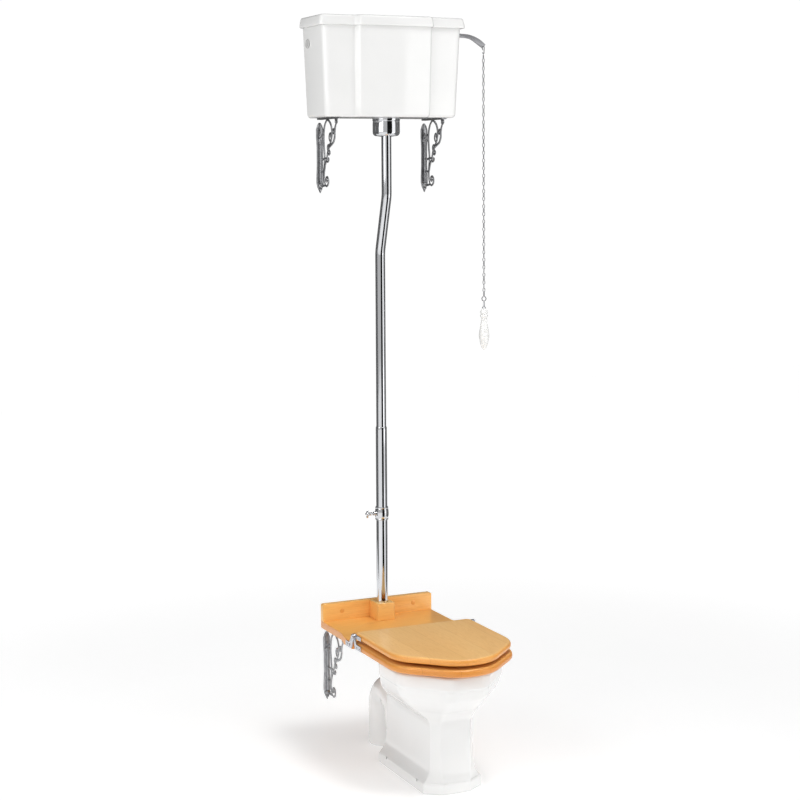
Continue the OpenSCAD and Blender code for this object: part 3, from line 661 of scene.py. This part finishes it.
def bracket(node):
    b = mm(node)
    x, zt = (b[0] + b[3]) / 2, b[5]
    bm = bmesh.new()

    def pt(p, dx=0.0):
        return (x + dx, WALL - p[0], zt + p[1])

    def bar(P, w, depth=4.3, n=14, smooth_n=6, taper=0.35, ends=True):
        P = [list(p) for p in P]
        pp = spline(P, smooth_n) if smooth_n else P
        m = len(pp)
        f = [w / 2 * (1 - taper * (abs(2 * i / (m - 1) - 1) ** 3)) for i in range(m)]
        sweep(bm, [pt(p) for p in pp], f, n=n, wide=[depth * (1 - 0.3 * (abs(2 * i / (m - 1) - 1) ** 4)) for i in range(m)], up=Vector((0, 0.01, 1)) if abs(pp[1][1] - pp[0][1]) < abs(pp[1][0] - pp[0][0]) else Vector((0, 1, 0)), round_end=3)

    def knob(c, r, flat=0.75):
        prof = [(max(0.05, r * math.sin(math.pi * k / 12)), -r * math.cos(math.pi * k / 12)) for k in range(13)]
        loft(bm, [[pt((c[0] + q1 * math.cos(2 * math.pi * j / 18), c[1] + q1 * math.sin(2 * math.pi * j / 18)), h * flat) for j in range(18)] for q1, h in prof])

    # top flange under the load, and the strip against the wall
    for ring in ([((0.3, -0.2), 8.4), ((149, -0.2), 8.4), ((149.6, -1.4), 9), ((149.6, -3.6), 9), ((148.6, -5), 8.2), ((0.3, -5), 8.2)],):
        lo_r = [pt(p, -w) for p, w in ring]
        hi_r = [pt(p, w) for p, w in ring]
        loft(bm, [lo_r, hi_r])
    w = [(0.3, -14, 3), (0.3, -22, 8), (0.3, -34, 12.2), (0.3, -60, 12.2), (0.3, -90, 10.5), (0.3, -150, 10.5), (0.3, -190, 12.2), (0.3, -206, 12.2), (0.3, -220, 9), (0.3, -232, 3.4), (0.3, -238, 0.8)]
    rings = []
    for u, z, h in w:
        rings.append([pt((0.2, z), -h), pt((0.2, z), h), pt((2.6, z), h), pt((4.8, z), h * 0.72), pt((4.8, z), -h * 0.72), pt((2.6, z), -h)])
    loft(bm, rings)
    # raised stem with its knobs and pointed tips
    bar([(5, -52), (7, -70), (7, -120), (7, -170), (6.5, -206)], 7.5, 4.6, taper=0.1)
    bar([(5, -46), (9, -58), (13, -68), (10, -76)], 6, 4.8)
    knob((10, -70), 7.2, 1.25)
    knob((6, -57), 4.4, 1.2)
    knob((6.5, -79), 4.2, 1.2)
    knob((9.5, -214), 7.4, 1.25)
    knob((6, -226), 4.6, 1.1)
    bar([(4, -222), (3.4, -230), (2.4, -237)], 4.5, 3.2)
    # arch that carries the arm
    bar([(74, -4), (58, -10), (44, -24), (37, -44), (35, -66), (37, -92), (41, -118), (41, -140), (38, -158), (36, -182), (40, -202), (46, -212)], 5.2)
    bar([(60, -5), (78, -10), (94, -22), (102, -40), (101, -58), (93, -76), (80, -88)], 5.2)
    # front scroll, from the arm's end down to the stem
    bar([(147, -8), (137, -20), (129, -32), (125, -46), (124, -62), (116, -76), (102, -84), (86, -90), (74, -98), (66, -112), (61, -126), (58, -136)], 5.4)
    bar([(128, -4), (134, -10), (143, -12), (147, -17)], 4.4, smooth_n=4)
    # scrolls
    bar(spiral((117, -45), 9.5, 20, 1.25, 2.6), 4.0, 3.8, smooth_n=0)
    knob((117, -45), 3.2, 1.3)
    bar(spiral((138, -15), 8.4, 200, -1.15, 2.6), 4.0, 3.8, smooth_n=0)
    knob((138, -15), 3.0, 1.3)
    bar([(93, -76), (84, -72), (80, -62), (84, -52), (92, -50), (97, -57), (92, -63)], 4.2, 3.8)
    knob((91, -58), 3.2, 1.3)
    bar([(80, -88), (72, -86), (66, -92), (66, -102)], 4.4, 3.8)
    bar(spiral((79, -109), 9.2, 160, 1.2, 2.6), 4.0, 3.8, smooth_n=0)
    knob((79, -109), 3.2, 1.3)
    bar([(58, -136), (64, -139), (72, -137), (76, -131), (72, -126)], 4.2, 3.6)
    knob((71, -131), 3.2, 1.25)
    bar([(58, -134), (50, -142), (43, -154), (39, -170)], 5.0)
    # ties to the stem
    bar([(6, -128), (24, -131), (42, -128), (62, -128)], 4.6, 3.8)
    knob((24, -130), 4.0, 1.15)
    bar([(5, -172), (22, -170), (38, -172)], 4.2, 3.6)
    bar([(6, -214), (26, -215), (46, -213)], 5.2, 3.9)
    # foot scroll
    bar([(44, -212), (56, -216), (68, -210), (71, -198), (64, -188), (54, -189), (51, -198), (57, -203)], 4.8, 4.0)
    knob((58, -199), 3.8, 1.25)
    # leaf between arm and stem
    bar([(36, -56), (26, -52), (17, -58), (12, -66)], 4.2, 3.6)
    o = finish_mesh(node + "_v", bm, node, M["pewter"], sharp=50)
    return o


for n in ("shelf_bracket_left", "shelf_bracket_right", "cistern_bracket_left", "cistern_bracket_right"):
    bracket(n)

# ---------------------------------------------------------------- cistern
def tank_ring(z, hw, yf, p, step, slant, R, yb=WALL, rb2=3):
    P = [(-hw, yb), (-hw, yf), (-(p + slant), yf), (-p, yf - step), (p, yf - step), (p + slant, yf), (hw, yf), (hw, yb)]
    s = min(7.5, step * 0.38)
    return at(rounded(P, [rb2, R, s, s, s, s, R, rb2], 8), z)


def tank(z, d=0.0):
    t = (z - BODY_BOT) / (BODY_TOP - BODY_BOT)
    return tank_ring(z, 227 + 13 * t - d, 222 - 10 * t + d, 119 + 4 * t - d * 0.6, 20, 9, max(18 - d * 0.5, 6), WALL - d * 0.0 if d < 10 else WALL - 11)


rings = []
for k in range(7):
    a = math.pi / 2 * k / 6
    rings.append(tank(BODY_BOT + 12 * (1 - math.cos(a)), 12 * (1 - math.sin(a)) * 0.8))
for z in range(1, 11):
    rings.append(tank(BODY_BOT + 12 + (BODY_TOP - BODY_BOT - 13) * z / 10))
rings.append(tank(BODY_TOP - 0.3, 0.4))
rings.append(tank(BODY_TOP, 1.2))
rings.append(tank(BODY_TOP, 10.2))
rings.append(tank(BODY_TOP - 1, 11))
for z in (0.7, 0.4, 0.12):
    rings.append(tank(BODY_BOT + (BODY_TOP - BODY_BOT) * z, 11))
rings.append(tank(BODY_BOT + 22, 12))
rings.append(tank(BODY_BOT + 16, 15))
rings.append(tank(BODY_BOT + 14, 21))
bm = bmesh.new()
loft(bm, rings)
cistern = finish_mesh("cistern_v", bm, "cistern", M["ceramic"], sharp=50)
VY, VZ = 340.0, BODY_BOT + 232
cut(cistern, [("z", (BODY_BOT - 4, BODY_BOT + 30, 0, OUT_Y, 23)), ("x", (-262, -214, VY, VZ, 11)), ("x", (214, 262, VY, VZ, 11)),
              ("box", ((206, OUT_Y - 4, BODY_TOP - 35), (264, OUT_Y + 4, BODY_TOP + 9)))])


def cover(z, d, flare=0.0):
    return tank_ring(z, 252 - d - flare, WALL - 176 + d + flare, 125 - d * 0.6 - flare * 0.5, 20, 11, max(13 - d * 0.4, 5), WALL if d < 11 else WALL - 12, 3)


rings = [cover(BODY_TOP + 21, 30), cover(BODY_TOP + 21, 26), cover(BODY_TOP + 19.4, 24.4), cover(BODY_TOP + 16, 24), cover(BODY_TOP + 2, 24), cover(BODY_TOP, 22.6), cover(BODY_TOP, 3.2)]
rings += [cover(BODY_TOP + 0.9, 1.0), cover(BODY_TOP + 3, 0.1), cover(BODY_TOP + 8, 0.0, 0.4), cover(BODY_TOP + 14, 0.0, 1.4), cover(BODY_TOP + 20, 0, 2.6)]
for k in range(9):
    a = math.pi / 2 * k / 8
    rings.append(cover(TOP - 10 + 9.6 * math.sin(a), 9 * (1 - math.cos(a)), 3.4))
rings.append(cover(TOP - 0.1, 20, 3.4))
rings.append(cover(TOP, 44, 3.4))
bm = bmesh.new()
loft(bm, rings)
finish_mesh("cistern_lid_v", bm, "cistern_lid", M["ceramic"], sharp=50)

pb = mm("side_hole_plug")
bm = bmesh.new()
lathe(bm, [(0.1, 0.9), (6, 0.7), (9.5, 0.25), (12, 0), (13.4, 0.6), (14, 1.8), (14, 3.6), (13.6, 4), (10.8, 4), (10.8, 14), (10, 15), (0.1, 15)], lambda x, y, z: (pb[0] + z, VY + x, VZ + y), 48)
finish_mesh("side_hole_plug_v", bm, "side_hole_plug", M["white_plastic"])

# ---------------------------------------------------------------- flush pipe
bend = math.atan2(RUN_Y - OUT_Y, 180)
B1 = BODY_BOT - 248
B2 = B1 - 180
bt = 100 * math.tan(bend / 2)
pth = [(0, RUN_Y, z) for z in (940, 990, 1040, 1120, 1250, 1380, 1500, 1560)]
for k in range(15):
    a = bend * k / 14
    pth.append((0, RUN_Y - 100 * (1 - math.cos(a)), B2 - bt + 100 * math.sin(a)))
for k in range(14, -1, -1):
    a = bend * k / 14
    pth.append((0, OUT_Y + 100 * (1 - math.cos(a)), B1 + bt - 100 * math.sin(a)))
top_pipe = mm("upper_flush_pipe")[5]
pth += [(0, OUT_Y, z) for z in (1830, 1880, 1940, top_pipe)]
bm = bmesh.new()
sweep(bm, pth, 15.95, 14.6, 96, up=Vector((1, 0, 0)))
finish_mesh("upper_flush_pipe_v", bm, "upper_flush_pipe", M["chrome"])
# lower pipe, with a rolled mouth round the upper one and a bend into the horn
pth, rad = [], []
for y in (190, 210, 235, 260):
    pth.append((0, y, 330))
    rad.append(17.95)
for k in range(17):
    a = math.radians(90 * k / 16)
    pth.append((0, 280 + 45 * math.sin(a), 375 - 45 * math.cos(a)))
    rad.append(17.95)
for z in (440, 520, 620, 720, 820, 920, 1000, 1030, 1036, 1038.4, 1039.6, 1040):
    pth.append((0, RUN_Y, z))
    rad.append({1036: 17.95, 1038.4: 17.7, 1039.6: 17.2, 1040: 16.9}.get(z, 17.95))
bm = bmesh.new()
sweep(bm, pth, rad, 16.6, 96, up=Vector((1, 0, 0)))
finish_mesh("lower_flush_pipe_v", bm, "lower_flush_pipe", M["chrome"])

bm = bmesh.new()
nb = mm("flush_nut")
zn = nb[5]
prof = [(39.2, 0), (43.4, -0.2), (43.9, -1.4), (43.9, -9), (43.2, -10.6), (42.6, -11.6), (42.8, -13)]
prof += [(43.3, -20), (43.3, -44)] + [(33 + 10.3 * math.cos(math.radians(a)), -46 - 12.2 * math.sin(math.radians(a))) for a in (0, 15, 30, 45, 60, 75, 90)]
prof += [(24, -59.2), (20, -59.9), (16.6, -60), (16.2, -58.8), (16.2, -44), (24, -42), (32, -42), (36, -44), (39.2, -42), (39.2, 0)]
lathe(bm, prof, upright(0, OUT_Y, zn), 96, False, False)
bmesh.ops.remove_doubles(bm, verts=bm.verts[:], dist=1e-6)
finish_mesh("flush_nut_v", bm, "flush_nut", M["chrome"])
refine("pipe_cone_washer", 0.8)

bm = bmesh.new()
prof = [(18.02, -21), (20.2, -21), (21.2, -20.2), (21.4, -18), (20.3, -16.2), (20.6, -15)] + [(22.3 - 0.9 * abs(k / 6) ** 2, k * 2.0) for k in range(-6, 7)] + [(20.6, 15), (20.3, 16.2), (21.4, 18), (21.2, 20.2), (20.2, 21), (18.02, 21), (18.02, -21)]
lathe(bm, prof, upright(0, RUN_Y, 757), 72, False, False)
bmesh.ops.remove_doubles(bm, verts=bm.verts[:], dist=1e-6)
lathe(bm, [(3.2, 0), (5.6, 0), (6.5, 0.8), (6.5, 5), (7.4, 9.4), (7.4, 10), (3.2, 10), (3.2, 0)], lambda x, y, z: (-30 + z, RUN_Y + x, 757 + y), 32, False, False)
bmesh.ops.remove_doubles(bm, verts=bm.verts[:], dist=1e-6)
finish_mesh("pipe_collar_v", bm, "pipe_collar", M["chrome"])
refine("collar_screw", 0.4, 2)
kb = mm("collar_knob")
bm = bmesh.new()
n = 96
rings = []
for x, s in ((-54.2, 0.5), (-54.4, 0.75), (-54, 0.93), (-53, 1), (-51, 1), (-49, 1), (-48, 0.93), (-47.7, 0.75), (-47.6, 0.5)):
    ring = []
    for k in range(n):
        a = 2 * math.pi * k / n
        r = 6.2 + 6.6 * max(0.0, math.cos(2 * a) ** 2 if abs(math.cos(2 * a)) > 0 else 0) ** 3
        r *= 0.55 + 0.45 * s
        ring.append((x, RUN_Y + r * math.cos(a), 757 + r * math.sin(a)))
    rings.append(ring)
loft(bm, rings)
prof = [(0.1, 0), (2.6, 0.3), (4.8, 1.8), (6, 4), (6.3, 6.4), (5.7, 9.6), (5.3, 11), (5.4, 13), (5.5, 21), (5, 22.3), (3.1, 22.4)]
lathe(bm, prof, lambda x, y, z: (kb[0] + 0.05 + z, RUN_Y + x, 757 + y), 40)
finish_mesh("collar_knob_v", bm, "collar_knob", M["chrome"])

# ---------------------------------------------------------------- lever, and the parts inside the cistern
refine("flush_lever", 0.9, 3, M["lever"])
refine("lever_fulcrum", 0.8, 2)
for n in ("lever_pin", "siphon_nut", "inlet_nut", "float_pin"):
    refine(n, 0.6, 2)
for n in ("siphon_piston", "inlet_valve"):
    refine(n, 0.5, 2)
for n in ("siphon", "lift_link", "float_arm", "float_ball"):
    refine(n, 0)

# ---------------------------------------------------------------- floor, light
bm = bmesh.new()
loft(bm, [[(-9000, -9000, -0.5), (9000, -9000, -0.5), (9000, 9000, -0.5), (-9000, 9000, -0.5)]], True, False)
me = bpy.data.meshes.new("floor")
bm.to_mesh(me)
bm.free()
floor = bpy.data.objects.new("floor", me)
scene.collection.objects.link(floor)
fm = Mat("floor", rough=0.8, spec=0.1)
fm.color(fm.ramp(fm.noise(3, 2), [(0.0, (0.93, 0.93, 0.93)), (1.0, (0.95, 0.95, 0.95))]))
# painted light: the floor glows by its emission everywhere, more strongly further from the object, so the far floor
# fades into the white backdrop
gm = fm.n("ShaderNodeMapping")
gm.inputs["Scale"].default_value = (0.3, 0.3, 0.3)
fm.l(fm.c.outputs["Object"], gm.inputs["Vector"])
gt = fm.n("ShaderNodeTexGradient", gradient_type="SPHERICAL")
fm.l(gm.outputs[0], gt.inputs["Vector"])
fm.l(fm.ramp(gt.outputs["Fac"], [(0.0, (0.6, 0.6, 0.6)), (0.45, (0.42, 0.42, 0.42)), (0.95, (0.2, 0.2, 0.2))]), fm.p.inputs["Emission Color"])
fm.p.inputs["Emission Strength"].default_value = 1.0
me.materials.append(fm.m)
# screens round the set that only polished surfaces mirror: a dark one in front, grey ones at the flanks
def screen(name, corners, tone, top=4.4):
    b = bmesh.new()
    (xa, ya), (xb, yb) = corners
    b.faces.new([b.verts.new(v) for v in ((xa, ya, 0.0), (xb, yb, 0.0), (xb, yb, top), (xa, ya, top))])
    me = bpy.data.meshes.new(name)
    b.to_mesh(me)
    b.free()
    o = bpy.data.objects.new(name, me)
    scene.collection.objects.link(o)
    m = Mat(name, rough=0.9, spec=0.0)
    m.color(m.ramp(m.noise(2, 2), [(0.0, (tone * 0.9,) * 3), (1.0, (tone * 1.1,) * 3)]))
    me.materials.append(m.m)
    o.visible_camera = o.visible_diffuse = o.visible_shadow = False


screen("screen_front", ((-0.50, -1.42), (0.78, -1.30)), 0.016)
screen("screen_left", ((-2.3, 0.45), (-2.3, 2.6)), 0.22)
screen("screen_right", ((1.9, -0.95), (2.3, 2.6)), 0.22)
screen("screen_back", ((-2.3, 2.6), (2.3, 2.6)), 0.16)

world = bpy.data.worlds.new("studio")
scene.world = world
world.use_nodes = True
wt = world.node_tree
bg = wt.nodes["Background"]
tc = wt.nodes.new("ShaderNodeTexCoord")
sx = wt.nodes.new("ShaderNodeSeparateXYZ")
wt.links.new(tc.outputs["Generated"], sx.inputs[0])


def wmath(op, a, b):
    x = wt.nodes.new("ShaderNodeMath")
    x.operation = op
    for i, v in enumerate((a, b)):
        if isinstance(v, (int, float)):
            x.inputs[i].default_value = v
        else:
            wt.links.new(v, x.inputs[i])
    return x.outputs[0]


# the room is dimmer behind the object, so turned metal keeps grey flanks
dot = wmath("ADD", wmath("MULTIPLY", sx.outputs[0], -0.35), wmath("MULTIPLY", sx.outputs[1], -0.937))
ramp = wt.nodes.new("ShaderNodeValToRGB")
el = ramp.color_ramp.elements
el[0].position, el[0].color = 0.0, (0.30, 0.30, 0.31, 1)
el[1].position, el[1].color = 1.0, (1.0, 1.0, 1.0, 1)
for p, c in ((0.28, 0.42), (0.5, 0.8), (0.72, 1.0)):
    e = el.new(p)
    e.color = (c, c, c, 1)
wt.links.new(wmath("MULTIPLY", wmath("ADD", dot, 1.0), 0.5), ramp.inputs[0])
lp = wt.nodes.new("ShaderNodeLightPath")
mx = wt.nodes.new("ShaderNodeMix")
mx.data_type = "RGBA"
wt.links.new(lp.outputs["Is Camera Ray"], mx.inputs[0])
wt.links.new(ramp.outputs[0], mx.inputs[6])
mx.inputs[7].default_value = (1.7, 1.7, 1.7, 1)
wt.links.new(mx.outputs[2], bg.inputs[0])
bg.inputs[1].default_value = 0.60


def area(name, loc, target, size, power, size_y=None):
    d = bpy.data.lights.new(name, "AREA")
    d.energy, d.size = power, size
    if size_y:
        d.shape, d.size_y = "RECTANGLE", size_y
    o = bpy.data.objects.new(name, d)
    scene.collection.objects.link(o)
    o.location = loc
    o.rotation_euler = (Vector(target) - Vector(loc)).to_track_quat("-Z", "Y").to_euler()
    return o


area("key", (2.8, -3.2, 1.7), (0, 0, 0.7), 3.2, 24, 3.0)
area("fill", (-3.4, -1.0, 3.0), (0, 0.2, 2.1), 2.4, 42, 2.4)
area("top", (0.2, -0.8, 4.6), (0, 0.0, 0.4), 2.6, 14)
seat_light = area("seat", (0.6, -1.3, 3.6), (0, -0.1, 0.45), 1.2, 4.5)
seat_light.data.spread = math.radians(52)
scene.view_settings.view_transform = "Standard"
scene.view_settings.look = "None"
scene.view_settings.exposure = 0.0
scene.view_settings.gamma = 1.0
